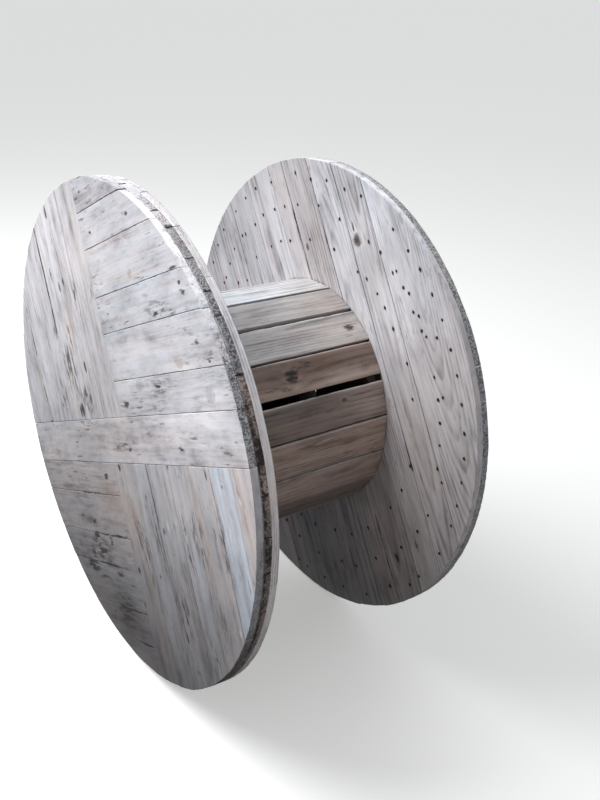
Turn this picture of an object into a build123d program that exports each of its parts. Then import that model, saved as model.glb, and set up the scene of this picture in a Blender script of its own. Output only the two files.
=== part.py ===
"""Wooden cable drum lying on its two rims.

Axis along X, faced flange at -X, floor at Z = 0, millimetres.

Two flanges of cross-laid boards hold a barrel of flat staves between them. The
near flange has a third layer, a pinwheel of planks that covers its bore. Steel
tie bolts inside the barrel draw the flanges together.
"""

import os
from math import cos, radians, sin

from build123d import *

os.makedirs("parts", exist_ok=True)

# flanges
flange_diameter = 1100
board_thickness = 16
joint_gap = 1.5
wide_board = 98
narrow_board = 74.5
near_turn = 26.5
far_turn = 32.8

# barrel
clear_width = 475
barrel_diameter = 550
stave_count = 20
stave_thickness = 22
stave_joint_gap = 2.5
first_stave_joint = 6.5
disc_thickness = 22
disc_clearance = 0.2

# joints between staves that have opened wider: joint number, gap
open_stave_joints = {0: 5, 1: 8, 2: 4, 3: 14, 4: 3, 5: 3}

# spindle bore and tie bolts
bore_diameter = 82
bolt_count = 4
bolt_diameter = 12
bolt_hole_clearance = 1
bolt_circle_diameter = 366
bolt_turn = 58.5
washer_diameter = 37
washer_thickness = 3
head_across_flats = 19
head_height = 8
nut_across_flats = 19
nut_height = 10
bolt_end_past_nut = 2
pocket_clearance = 7

# facing of the near flange, in its own turned frame
facing_drop = 2.5
facing_offset = 53.5

# board edges of the layers under it and of the far flange, across the boards
middle_layer_edges = (
    -476, -400, -325, -249, -180, -105, -50, 50, 102, 204, 249, 312, 376, 414, 490,
)
far_inner_edges = (-465, -389, -289, -225, -151, -48, 54, 112, 208, 291, 375)
far_outer_edges = (-453, -377, -276, -190, -119, -48, 52, 107, 208, 288, 364, 464)
disc_edges = (-145, -50, 50, 145)

flange_radius = flange_diameter / 2
wide_pitch = wide_board + joint_gap
narrow_pitch = narrow_board + joint_gap
near_thickness = 3 * board_thickness
far_thickness = 2 * board_thickness
width = near_thickness + clear_width + far_thickness

facing_x = -width / 2
middle_x = facing_x + board_thickness
near_inner_x = middle_x + board_thickness
barrel_start_x = near_inner_x + board_thickness
far_inner_x = barrel_start_x + clear_width
far_outer_x = far_inner_x + board_thickness
far_face_x = far_outer_x + board_thickness

stave_pitch = 360 / stave_count
barrel_radius = barrel_diameter / 2
stave_face_radius = barrel_radius * cos(radians(stave_pitch / 2))
stave_width = 2 * barrel_radius * sin(radians(stave_pitch / 2))
disc_radius = stave_face_radius - stave_thickness - disc_clearance
bolt_hole_diameter = bolt_diameter + bolt_hole_clearance
pocket_diameter = washer_diameter + pocket_clearance


def flange_plane(x, turn=0):
    """Plane across the axis at x, seen from the near end, its X turned up by turn."""
    angle = radians(turn)
    return Plane(
        origin=(x, 0, flange_radius),
        x_dir=(0, -cos(angle), sin(angle)),
        z_dir=(-1, 0, 0),
    )


def alternate(start, sign):
    """Edges of alternating narrow and wide boards laid outwards from start."""
    edges = [start]
    narrow = True
    while abs(edges[-1]) < flange_radius - wide_pitch:
        edges.append(edges[-1] + sign * (narrow_pitch if narrow else wide_pitch))
        narrow = not narrow
    return edges


def board_strips(edges, radius, gap=joint_gap):
    """Centre and width of each board between the edges and out to the rim."""
    bounds = [-radius - gap, *edges, radius + gap]
    for low, high in zip(bounds, bounds[1:]):
        yield (low + high) / 2, high - low - gap


def layer_outline(edges, radius):
    """Sketch the boards of one round layer, cut to its rim and its bore."""
    for centre, board in board_strips(edges, radius):
        with Locations((0, centre)):
            Rectangle(2 * radius, board)
    Circle(radius, mode=Mode.INTERSECT)
    Circle(bore_diameter / 2, mode=Mode.SUBTRACT)


def bolt_positions():
    """Places of the tie bolts around the axis."""
    return PolarLocations(bolt_circle_diameter / 2, bolt_count, start_angle=bolt_turn)


def flange_layer(x, turn, edges, hole):
    """One layer of parallel boards with the bore and a hole at each tie bolt."""
    with BuildPart() as layer:
        with BuildSketch(flange_plane(x, turn)):
            layer_outline(edges, flange_radius)
        extrude(amount=-board_thickness)
        with BuildSketch(flange_plane(x)):
            with bolt_positions():
                Circle(hole / 2)
        extrude(amount=-board_thickness, mode=Mode.SUBTRACT)
    return layer


def barrel_disc(x, turn):
    """Disc of boards inside one end of the barrel, which the staves are nailed to."""
    with BuildPart() as disc:
        with BuildSketch(flange_plane(x, turn)):
            layer_outline(disc_edges, disc_radius)
        extrude(amount=-disc_thickness)
        with BuildSketch(flange_plane(x)):
            with bolt_positions():
                Circle(bolt_hole_diameter / 2)
        extrude(amount=-disc_thickness, mode=Mode.SUBTRACT)
    return disc


def facing_board(left, right, low, high):
    """One plank of the facing, between its joints and cut to the rim."""
    with BuildPart() as plank:
        with BuildSketch(flange_plane(facing_x, near_turn)):
            with Locations(((left + right) / 2, (low + high) / 2 - facing_drop)):
                Rectangle(right - left - joint_gap, high - low - joint_gap)
            Circle(flange_radius, mode=Mode.INTERSECT)
        extrude(amount=-board_thickness)
    return plank


def stave(index):
    """Flat stave with edges bevelled towards the axis, between two joints."""
    first_gap = open_stave_joints.get((index - 1) % stave_count, stave_joint_gap)
    second_gap = open_stave_joints.get(index, stave_joint_gap)
    angle = radians(first_stave_joint + stave_pitch * (index - 0.5))
    middle_radius = stave_face_radius - stave_thickness / 2
    section = Plane(
        origin=(
            barrel_start_x,
            -middle_radius * sin(angle),
            flange_radius + middle_radius * cos(angle),
        ),
        x_dir=(0, cos(angle), sin(angle)),
        z_dir=(1, 0, 0),
    )
    with BuildPart() as board:
        with BuildSketch(section):
            with Locations(((second_gap - first_gap) / 4, 0)):
                Trapezoid(
                    stave_width - (first_gap + second_gap) / 2,
                    stave_thickness,
                    90 - stave_pitch / 2,
                    rotation=180,
                )
        extrude(amount=clear_width)
    return board


def hand_over(piece, name):
    """Label one finished piece and write its STEP file."""
    piece.part.label = name
    export_step(piece.part, f"parts/{name}.step")


# facing: one long plank through the centre and four blocks around it
rim = flange_radius + wide_pitch
plank_half = wide_pitch / 2
hand_over(facing_board(-rim, rim, -plank_half, plank_half), "facing_centre_plank")

rows = [*alternate(plank_half, 1), rim]
for number, (low, high) in enumerate(zip(rows, rows[1:]), start=1):
    hand_over(facing_board(facing_offset, rim, low, high), f"facing_upper_right_{number}")
    hand_over(facing_board(-rim, -facing_offset, -high, -low), f"facing_lower_left_{number}")

columns = [-facing_offset, *alternate(wide_pitch - facing_offset, 1), rim]
for number, (left, right) in enumerate(zip(columns, columns[1:]), start=1):
    hand_over(facing_board(left, right, -rim, -plank_half), f"facing_lower_right_{number}")
    hand_over(facing_board(-right, -left, plank_half, rim), f"facing_upper_left_{number}")

# near flange: middle layer along the centre plank, inner layer across it
near_middle_layer = flange_layer(middle_x, near_turn, middle_layer_edges, pocket_diameter)
hand_over(near_middle_layer, "near_middle_layer")

outward = alternate(plank_half, 1)
inward = [-edge for edge in reversed(outward)]
near_inner_layer = flange_layer(
    near_inner_x, near_turn - 90, [*inward, *outward], bolt_hole_diameter
)
hand_over(near_inner_layer, "near_inner_layer")

# far flange: inner layer upright, outer layer across it
far_inner_layer = flange_layer(
    far_inner_x, far_turn - 90, far_inner_edges, bolt_hole_diameter
)
hand_over(far_inner_layer, "far_inner_layer")
far_outer_layer = flange_layer(far_outer_x, far_turn, far_outer_edges, pocket_diameter)
hand_over(far_outer_layer, "far_outer_layer")

# barrel
hand_over(barrel_disc(barrel_start_x, near_turn), "near_barrel_disc")
hand_over(barrel_disc(far_inner_x - disc_thickness, far_turn), "far_barrel_disc")
for index in range(stave_count):
    hand_over(stave(index), f"stave_{index + 1:02d}")

# tie bolts, heads and nuts on washers, sunk in the outer pockets
near_seat_x = near_inner_x
far_seat_x = far_outer_x
head_seat_x = near_seat_x - washer_thickness
nut_seat_x = far_seat_x + washer_thickness
bolt_end_x = nut_seat_x + nut_height + bolt_end_past_nut


def washers(x, toward):
    """Washers that lie on the seat at x, on the side that toward points to."""
    with BuildPart() as rings:
        with BuildSketch(flange_plane(x)):
            with bolt_positions():
                Circle(washer_diameter / 2)
                Circle(bolt_diameter / 2, mode=Mode.SUBTRACT)
        extrude(amount=toward * washer_thickness)
    return rings


with BuildPart() as tie_bolts:
    with BuildSketch(flange_plane(head_seat_x)):
        with bolt_positions():
            RegularPolygon(head_across_flats / 2, 6, major_radius=False)
    extrude(amount=head_height)
    with BuildSketch(flange_plane(head_seat_x)):
        with bolt_positions():
            Circle(bolt_diameter / 2)
    extrude(amount=head_seat_x - bolt_end_x)
hand_over(tie_bolts, "tie_bolts")

with BuildPart() as bolt_nuts:
    with BuildSketch(flange_plane(nut_seat_x)):
        with bolt_positions():
            RegularPolygon(nut_across_flats / 2, 6, major_radius=False)
            Circle(bolt_diameter / 2, mode=Mode.SUBTRACT)
    extrude(amount=-nut_height)
hand_over(bolt_nuts, "bolt_nuts")

hand_over(washers(near_seat_x, 1), "near_washers")
hand_over(washers(far_seat_x, -1), "far_washers")
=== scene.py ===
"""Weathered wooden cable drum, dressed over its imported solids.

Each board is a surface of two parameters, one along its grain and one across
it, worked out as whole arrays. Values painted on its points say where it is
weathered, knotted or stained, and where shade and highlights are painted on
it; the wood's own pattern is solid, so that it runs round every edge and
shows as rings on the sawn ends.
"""

import math

import bpy
import numpy as np
from mathutils import Matrix, Vector


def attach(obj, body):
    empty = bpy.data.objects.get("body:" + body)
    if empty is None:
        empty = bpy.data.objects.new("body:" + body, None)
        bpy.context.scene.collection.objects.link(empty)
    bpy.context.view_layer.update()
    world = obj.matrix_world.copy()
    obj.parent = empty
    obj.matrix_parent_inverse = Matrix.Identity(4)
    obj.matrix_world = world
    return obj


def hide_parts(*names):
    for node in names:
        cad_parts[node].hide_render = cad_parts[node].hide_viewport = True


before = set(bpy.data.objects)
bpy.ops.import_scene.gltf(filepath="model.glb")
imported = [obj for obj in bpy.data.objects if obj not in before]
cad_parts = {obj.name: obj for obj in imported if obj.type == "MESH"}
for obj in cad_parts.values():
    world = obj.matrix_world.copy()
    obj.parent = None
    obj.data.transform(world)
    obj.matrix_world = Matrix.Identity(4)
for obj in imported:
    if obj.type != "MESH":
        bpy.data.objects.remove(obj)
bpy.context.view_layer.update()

# sizes of the drum, in metres and degrees, as in its solids
DIAMETER = 1.1
RADIUS = DIAMETER / 2
CLEAR_WIDTH = 0.475
BOARD = 0.016
JOINT = 0.0015
WIDE = 0.098 + JOINT
NARROW = 0.0745 + JOINT
NEAR_TURN = 26.5
FAR_TURN = 32.8
FACING_DROP = 0.0025
FACING_OFFSET = 0.0535
BORE_RADIUS = 0.041
POCKET_RADIUS = 0.022
BOLT_CIRCLE_RADIUS = 0.183
BOLT_TURN = 58.5
STAVES = 20
STAVE_PITCH = 360 / STAVES
FIRST_STAVE_JOINT = 6.5
STAVE_JOINT = 0.0025
OPEN_STAVE_JOINTS = {0: 0.005, 1: 0.008, 2: 0.004, 3: 0.014, 4: 0.003, 5: 0.003}
STAVE_THICKNESS = 0.022
BARREL_RADIUS = 0.275
STAVE_FACE_RADIUS = BARREL_RADIUS * math.cos(math.radians(STAVE_PITCH / 2))
STAVE_WIDTH = 2 * BARREL_RADIUS * math.sin(math.radians(STAVE_PITCH / 2))

# places along the axis, from the outside of the facing to the back of the far flange
FACING_X = -(CLEAR_WIDTH + 5 * BOARD) / 2
MIDDLE_X = FACING_X + BOARD
NEAR_INNER_X = MIDDLE_X + BOARD
BARREL_START_X = NEAR_INNER_X + BOARD
BARREL_END_X = BARREL_START_X + CLEAR_WIDTH
FAR_FACE_X = BARREL_END_X + 2 * BOARD

# joints of the layers of parallel boards, in millimetres across the boards from the drum's axis
MIDDLE_EDGES = (-476, -400, -325, -249, -180, -105, -50, 50, 102, 204, 249, 312, 376, 414, 490)
FAR_INNER_EDGES = (-465, -389, -289, -225, -151, -48, 54, 112, 208, 291, 375)
FAR_OUTER_EDGES = (-453, -377, -276, -190, -119, -48, 52, 107, 208, 288, 364, 464)

# edges of a board: how far it stays off a joint of its layer, how far in its edges are eased, the
# share of that at which their first point lies, how far its back is drawn in at the rim, and how
# blunt its thinnest tip is
SEAM = 0.0004
EASE = 0.0011
FIRST_STEP = 0.3
CHAMFER = 0.0008
TIP = 0.0015

# how far in from its edge a wandering joint and a rough rim move a board
JOINT_REACH = 0.008
STAVE_JOINT_REACH = 0.006
RIM_REACH = 0.012
# a joint further out than this share of the radius has no room to wander
LAST_JOINT = 0.985
# points this near to the rim are on it, and edge points this near to a hole are moved onto it
ON_RIM = 1e-5
HOLE_REACH = 0.008
# how a sawn edge wanders: its sway and that sway's length, its chips and their length
BOARD_EDGE = (0.0002, 0.05, 0.0006, 0.012)
STAVE_EDGE = (0.0004, 0.06, 0.001, 0.014)

# noise and small array helpers

# side of the lattice of random values, after which the noise repeats
LATTICE = 64


def noise(x, y, seed):
    """Smooth noise from -1 to 1: random values on a square lattice, blended with 3t^2 - 2t^3."""
    table = np.random.default_rng(seed).random((LATTICE, LATTICE)) * 2 - 1
    x, y = np.broadcast_arrays(np.asarray(x, float), np.asarray(y, float))
    column, row = np.floor(x).astype(int), np.floor(y).astype(int)
    s, t = x - column, y - row
    s, t = s * s * (3 - 2 * s), t * t * (3 - 2 * t)
    left, right, low, high = (number % LATTICE for number in (column, column + 1, row, row + 1))
    a, b, c, d = table[left, low], table[right, low], table[left, high], table[right, high]
    return (a + (b - a) * s) * (1 - t) + (c + (d - c) * s) * t


def fall(distance, reach):
    """1 at no distance, down a bell curve of that reach."""
    return np.exp(-((distance / reach) ** 2))


def step_up(x, low, high):
    """0 below low, 1 above high, smooth between."""
    t = np.clip((x - low) / (high - low), 0, 1)
    return t * t * (3 - 2 * t)


# boards


class Face:
    """One side of a flange layer, whose boards run along a direction turned up from level."""

    def __init__(self, x, turn, outward):
        angle = math.radians(turn)
        self.x = x
        self.outward = outward
        self.reverse = outward > 0
        self.along = (-math.cos(angle), math.sin(angle))
        self.across = (math.sin(angle), math.cos(angle))

    def place(self, u, v, w):
        """u along the boards, v across them and w into the wood, from the drum's axis and the face."""
        return np.stack(
            [
                self.x - self.outward * w,
                u * self.along[0] + v * self.across[0],
                RADIUS + u * self.along[1] + v * self.across[1],
            ],
            axis=-1,
        )


class StaveFace:
    """Outside of one barrel stave: u along the axis, v round the barrel, w towards the axis."""

    reverse = False

    def __init__(self, angle):
        angle = math.radians(angle)
        self.out = (-math.sin(angle), math.cos(angle))
        self.side = (math.cos(angle), math.sin(angle))

    def place(self, u, v, w):
        narrowing = 1 - w * 2 * math.tan(math.radians(STAVE_PITCH / 2)) / STAVE_WIDTH
        radius = STAVE_FACE_RADIUS - w
        side = v * narrowing
        return np.stack(
            [
                u,
                radius * self.out[0] + side * self.side[0],
                RADIUS + radius * self.out[1] + side * self.side[1],
            ],
            axis=-1,
        )


def eased_drop(distance):
    """How far a face sinks at this distance from its edge: a quarter circle."""
    return EASE - np.sqrt(np.maximum(EASE**2 - np.maximum(EASE - distance, 0) ** 2, 0))


def chipped(u, side, seed, sway, sway_length, chip, chip_length):
    """How far a sawn edge wanders: a slow sway by noise, and chips by the square of a finer one."""
    slow, fine = noise(u / sway_length, side, seed), noise(u / chip_length, side, seed + 1)
    return sway * (1 + slow) + chip * np.maximum(fine, 0) ** 2


def eased_rows(low, middle, high):
    """Rows across a board, the first and last of them followed by the first point of their easing."""
    first = FIRST_STEP * EASE
    return np.concatenate([[low, low + first], middle, [high - first, high]])


def rim_rows(low, high, along, step):
    """Rows across a board, spaced evenly round the rim. It ends where the rim would leave a thin tip."""
    reach = min(abs(along[0]), abs(along[1])) if along[0] * along[1] > 0 else 0
    top = math.sqrt(RADIUS**2 - (reach + (2 if reach else 1) * TIP) ** 2)
    low, high = max(low, -top), min(high, top)
    first, last = math.asin((low + EASE) / RADIUS), math.asin((high - EASE) / RADIUS)
    count = max(2, math.ceil(RADIUS * (last - first) / step))
    return eased_rows(low, RADIUS * np.sin(np.linspace(first, last, count + 1)), high)


def even_rows(low, high, step):
    """Rows across a board that isn't cut to the rim."""
    count = max(2, math.ceil((high - low) / step))
    return eased_rows(low, np.linspace(low + EASE, high - EASE, count + 1), high)


def board_surface(rows, starts, ends, step):
    """Grid of u and v: each row runs from its start to its end, with points for easing both."""
    count = max(2, math.ceil((ends - starts).max() / step))
    ease = np.minimum(EASE, 0.2 * (ends - starts))[:, None]
    starts, ends = starts[:, None], ends[:, None]
    middle = starts + ease + np.linspace(0, 1, count + 1) * (ends - starts - 2 * ease)
    u = np.concatenate(
        [starts, starts + FIRST_STEP * ease, middle, ends - FIRST_STEP * ease, ends], axis=1
    )
    return u, np.repeat(rows[:, None], u.shape[1], axis=1)


# attributes that the materials read, and the three painted values in each
PAINTED = {
    "grain": ("grain_u", "grain_v", "grain_w"),
    "marks": ("stain", "knot", "swirl"),
    "shade": ("tone", "warm", "end"),
}
# degrees from which an edge of a board shows sharp
SHARP_EDGE = 18


class Piece:
    """Points, faces and painted values of one piece, gathered board by board."""

    def __init__(self):
        self.points, self.loops, self.sizes, self.fields = [], [], [], {}
        self.count = 0

    def add(self, points, quads, caps, **fields):
        """One closed board. fields hold a number for each point."""
        self.points.append(points)
        self.loops.append(quads.ravel() + self.count)
        self.sizes.append(np.full(len(quads), 4))
        for cap in caps:
            self.loops.append(cap + self.count)
            self.sizes.append(np.array([len(cap)]))
        for name, values in fields.items():
            values = np.broadcast_to(np.asarray(values, float), len(points))
            self.fields.setdefault(name, []).append(values)
        self.count += len(points)

    def weather(self, board, middle):
        """Grain, tone and warmth of the board that was added last, with its middle at this v."""
        u, v, w = (self.fields[name][-1] for name in ("u", "v", "w"))
        values = (*board.grain(u, v, w, middle), np.full(len(u), board.tone), np.full(len(u), board.warm))
        for name, value in zip((*PAINTED["grain"], "tone", "warm"), values):
            self.fields.setdefault(name, []).append(value)

    def field(self, name):
        return np.concatenate(self.fields[name])

    def build(self, name, material, slot, nodes=()):
        """Blender mesh of the gathered boards, riding on the drum."""
        points = np.concatenate(self.points)
        loops, sizes = np.concatenate(self.loops), np.concatenate(self.sizes)
        mesh = bpy.data.meshes.new(name)
        mesh.vertices.add(len(points))
        mesh.vertices.foreach_set("co", points.ravel())
        mesh.loops.add(len(loops))
        mesh.loops.foreach_set("vertex_index", loops.astype(np.int32))
        mesh.polygons.add(len(sizes))
        starts = np.concatenate([[0], np.cumsum(sizes)[:-1]])
        mesh.polygons.foreach_set("loop_start", starts.astype(np.int32))
        mesh.update(calc_edges=True)
        for attribute, parts in PAINTED.items():
            if parts[0] in self.fields:
                values = np.stack([self.field(part) for part in parts], axis=-1)
                layer = mesh.attributes.new(attribute, "FLOAT_VECTOR", "POINT")
                layer.data.foreach_set("vector", values.astype(np.float32).ravel())
        mesh.polygons.foreach_set("use_smooth", np.ones(len(sizes), bool))
        mesh.set_sharp_from_angle(angle=math.radians(SHARP_EDGE))
        mesh.materials.append(material)
        piece = bpy.data.objects.new(name, mesh)
        bpy.context.scene.collection.objects.link(piece)
        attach(piece, "root")
        if nodes:
            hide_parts(*nodes)
        return piece


def grid_faces(rows, columns, keep):
    """Corner numbers of each kept cell of a grid, going u first and then v."""
    corner = np.arange(rows * columns).reshape(rows, columns)
    cells = np.stack(
        [corner[:-1, :-1], corner[:-1, 1:], corner[1:, 1:], corner[1:, :-1]], axis=-1
    )
    return cells[keep]


def open_edges(quads):
    """Directed edges that only one face has."""
    start, end = quads.ravel(), np.roll(quads, -1, axis=1).ravel()
    size = quads.max() + 1
    single = ~np.isin(start * size + end, end * size + start)
    return start[single], end[single]


def cells_outside(u, v, holes):
    """Which cells of a grid lie outside every round hole."""
    middle_u, middle_v = (u[:-1, :-1] + u[1:, 1:]) / 2, (v[:-1, :-1] + v[1:, 1:]) / 2
    keep = np.ones(middle_u.shape, bool)
    for hole_u, hole_v, radius in holes:
        keep &= np.hypot(middle_u - hole_u, middle_v - hole_v) > radius
    return keep


def round_holes(u, v, edge, holes):
    """Moves the edge points beside each hole straight out or in onto its circle."""
    for hole_u, hole_v, radius in holes:
        far = np.hypot(u[edge] - hole_u, v[edge] - hole_v)
        beside = far < radius + HOLE_REACH
        points, far = edge[beside], far[beside]
        u[points] = hole_u + (u[points] - hole_u) * radius / far
        v[points] = hole_v + (v[points] - hole_v) * radius / far


def close_board(piece, face, u, v, w, thickness, rim, holes=()):
    """Closed board under the surface w(u, v): walls down to its back, and the back.

    The walls drop in two steps, the last one drawn in towards the axis at the
    rim. A board with round holes has its cells inside them taken out, the
    points round each moved onto its circle, and a back of the same cells.
    """
    rows, columns = u.shape
    count = rows * columns
    top = grid_faces(rows, columns, cells_outside(u, v, holes))
    u, v, w, rim = u.ravel().copy(), v.ravel().copy(), w.ravel(), rim.ravel()
    start, end = open_edges(top)
    edge = np.unique(start)
    round_holes(u, v, edge, holes)
    ring = np.full(count, -1)
    ring[edge] = np.arange(len(edge))
    upper, lower = count + ring, count + len(edge) + ring
    walls = [
        np.stack([end, start, upper[start], upper[end]], -1),
        np.stack([upper[end], upper[start], lower[start], lower[end]], -1),
    ]
    if holes:
        inner = np.setdiff1d(np.unique(top), edge)
        back = np.full(count, -1)
        back[inner] = count + 2 * len(edge) + np.arange(len(inner))
        back[edge] = lower[edge]
        walls.append(back[top][:, ::-1])
        caps = []
    else:
        inner = np.array([], int)
        corner = np.arange(count).reshape(rows, columns)
        around = [corner[0, :-1], corner[:-1, -1], corner[-1, :0:-1], corner[:0:-1, 0]]
        caps = [lower[np.concatenate(around)][::-1]]
    drawn_in = 1 - CHAMFER / RADIUS * rim[edge]
    us = np.concatenate([u, u[edge], u[edge] * drawn_in, u[inner]])
    vs = np.concatenate([v, v[edge], v[edge] * drawn_in, v[inner]])
    upper_w, lower_w = np.full(len(edge), thickness - CHAMFER), np.full(len(edge) + len(inner), thickness)
    ws = np.concatenate([w, upper_w, lower_w])
    wall = np.zeros(len(us))
    wall[edge] = 1
    wall[count : count + 2 * len(edge)] = 1
    wall = wall * rim[np.concatenate([np.arange(count), edge, edge, inner])]
    faces = np.concatenate([top, *walls])
    used = np.zeros(len(us), bool)
    for corners in (faces.ravel(), *caps):
        used[corners] = True
    number = np.cumsum(used) - 1
    faces, caps = number[faces], [number[cap] for cap in caps]
    if face.reverse:
        faces, caps = faces[:, ::-1], [cap[::-1] for cap in caps]
    points = face.place(us, vs, ws)[used]
    piece.add(points, faces, caps, u=us[used], v=vs[used], w=ws[used], wall=wall[used])


class Board:
    """How one board was cut from its log and how it has weathered."""

    def __init__(self, number, pith=None, depth=None, slope=None, tone=1, warm=0, ring=1, gaps=()):
        """Draws from the board's number, and pith, depth and slope too unless they are given."""
        rng = np.random.default_rng(1000 + number)
        draws = rng.random(8)
        self.number = number
        self.pith = pith if pith is not None else (draws[0] - 0.5) * 0.16
        self.depth = depth if depth is not None else 0.012 + 0.09 * draws[1] ** 2
        self.slope = slope if slope is not None else (draws[2] - 0.5) * 0.05
        self.level = 0.0007 * draws[3]
        self.rim_cut = 0.0014 * draws[4]
        self.tone = tone * (0.97 + 0.06 * draws[5])
        self.warm = warm + 0.24 * (draws[6] - 0.5)
        self.ring = ring * (0.8 + 0.5 * draws[7])
        self.gaps = gaps

    def grain(self, u, v, w, middle):
        """Place in the log, each board in its own stretch of it: along it, and across it from its pith."""
        along = u + 1.3 * (self.number % 53)
        return along, (v - middle - self.pith) / self.ring, (w + self.depth + self.slope * u) / self.ring


def flange_board(piece, face, board, across, along, step, rim_wave=0.001, ragged=1.0, holes=()):
    """One board of a flange layer, between its joints and cut to the rim.

    Its face sinks by a quarter circle along every edge, its joint edges and its
    sawn rim wander by noise, and its face is a little uneven.
    """
    low, high = across
    rows = rim_rows(low, high, along, step[1])
    chord = np.sqrt(np.maximum(RADIUS**2 - rows**2, 0))
    starts, ends = np.maximum(along[0], -chord), np.minimum(along[1], chord)
    u, v = board_surface(rows, starts, ends, step[0])
    low, high = rows[0], rows[-1]
    distance = np.minimum.reduce([v - low, high - v, u - starts[:, None], ends[:, None] - u])
    seed = board.number
    relief = board.level + 0.0003 * (1 + noise(u / 0.25, v / 0.05, seed))
    from_rim = RADIUS - np.hypot(u, v)
    rim = from_rim < ON_RIM
    for side, edge, sign in ((0, low, 1), (1, high, -1)):
        wander = chipped(u, side, seed + 1, *BOARD_EDGE) * ragged
        for gap_side, centre, reach, extra in board.gaps:
            if gap_side == side:
                wander = wander + extra * fall(u - centre, reach)
        if abs(edge) < RADIUS * LAST_JOINT:
            v = v + sign * wander * np.exp(-np.abs(v - edge) / JOINT_REACH)
    inside = np.minimum(1, RADIUS / np.maximum(np.hypot(u, v), 1e-9))
    u, v = u * inside, v * inside
    around = np.arctan2(v, u)
    cut = board.rim_cut + rim_wave * (1 + noise(around * 9, 0, seed + 3)) / 2
    cut = cut + 0.0004 * (1 + noise(around * 60, 0, seed + 4))
    shrink = 1 - cut * np.exp(-from_rim / RIM_REACH) / RADIUS
    close_board(piece, face, u * shrink, v * shrink, eased_drop(distance) + relief, BOARD, rim, holes)
    cut_by_rim = not abs(across[0]) < RADIUS > abs(across[1])
    piece.weather(board, rows[0] if cut_by_rim else (across[0] + across[1]) / 2)


def strips(edges, seam, opened):
    """Low and high edge of each board between the joints and out to the rim, some joints opened."""
    half = [seam + opened.get(number, 0) / 2 for number in range(len(edges))]
    lows = [-RADIUS, *(edge + gap for edge, gap in zip(edges, half))]
    highs = [*(edge - gap for edge, gap in zip(edges, half)), RADIUS]
    return list(zip(lows, highs))


def alternate(start, sign):
    """Joints of alternating narrow and wide boards laid outwards from start."""
    edges, narrow = [start], True
    while abs(edges[-1]) < RADIUS - WIDE:
        edges.append(edges[-1] + sign * (NARROW if narrow else WIDE))
        narrow = not narrow
    return edges


def polar(piece, turn):
    """Place of every point on its flange: p and q in a turned frame, in diameters, and rim angle."""
    points = np.concatenate(piece.points)
    angle = math.radians(turn)
    y, z = points[:, 1], points[:, 2] - RADIUS
    p = (-y * math.cos(angle) + z * math.sin(angle)) / DIAMETER
    q = (y * math.sin(angle) + z * math.cos(angle)) / DIAMETER
    theta = np.degrees(np.arctan2(-y, z)) % 360
    return p, q, theta


def bell(p, q, at_p, at_q, reach_p, reach_q):
    """1 at a place, down a bell curve of its reach along p and along q."""
    return np.exp(-(((p - at_p) / reach_p) ** 2) - ((q - at_q) / reach_q) ** 2)


# value of a point that is far from any knot
NO_KNOT = 9.0


def mark(piece, p, q, unit, stains=(), knots=(), warms=(), tones=()):
    """Adds marks at p and q, lengths in units: each a bell of its reach along p and q, and a strength.

    A knot's value is the distance from its middle over its radius, and the
    grain's distance from the pith swells round it by a bell curve.
    """
    stain, knot, swirl = np.zeros(len(p)), np.full(len(p), NO_KNOT), np.zeros(len(p))
    warm, tone = piece.field("warm").copy(), piece.field("tone").copy()
    for *place, strength in stains:
        stain = np.maximum(stain, strength * bell(p, q, *place))
    for at_p, at_q, radius_p, radius_q in knots:
        ratio = np.hypot((p - at_p) / radius_p, (q - at_q) / radius_q)
        knot = np.minimum(knot, ratio)
        swirl = swirl + 0.6 * unit * min(radius_p, radius_q) * fall(ratio, 2.2)
    for *place, strength in warms:
        warm = warm + strength * bell(p, q, *place)
    for *place, factor in tones:
        tone = tone * (1 + (factor - 1) * bell(p, q, *place))
    piece.fields.update(stain=[stain], knot=[knot], swirl=[swirl], warm=[warm], tone=[tone])


def paint(piece, turn, *marks):
    """Marks a flange's boards at places in its turned frame, in diameters."""
    p, q, theta = polar(piece, turn)
    mark(piece, p, q, DIAMETER, *marks)
    return p, q, theta


def end_grain(piece, along):
    """How squarely each wall point's rim cuts the grain: 1 for a sawn end, 0 for a long side."""
    points = np.concatenate(piece.points)
    y, z = points[:, 1], points[:, 2] - RADIUS
    far = np.maximum(np.hypot(y, z), 1e-6)
    facing = np.abs((y * along[0] + z * along[1]) / far)
    piece.fields["end"] = [facing**1.5 * step_up(piece.field("wall"), 0.4, 1)]


# shader maths


class Wire:
    """A shader socket that takes part in sums: each operator adds a Math node."""

    def __init__(self, recipe, socket):
        self.recipe, self.socket = recipe, socket

    def math(self, operation, *values):
        return self.recipe.node("ShaderNodeMath", dict(enumerate(values)), operation=operation)

    def __add__(self, other):
        return self.math("ADD", self, other)

    def __sub__(self, other):
        return self.math("SUBTRACT", self, other)

    def __rsub__(self, other):
        return self.math("SUBTRACT", other, self)

    def __mul__(self, other):
        return self.math("MULTIPLY", self, other)

    def __truediv__(self, other):
        return self.math("DIVIDE", self, other)

    def __pow__(self, other):
        return self.math("POWER", self, other)

    __radd__, __rmul__ = __add__, __mul__

    def most(self, other):
        return self.math("MAXIMUM", self, other)

    def part(self):
        return self.math("FRACT", self)

    def size(self):
        return self.math("ABSOLUTE", self)


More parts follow.
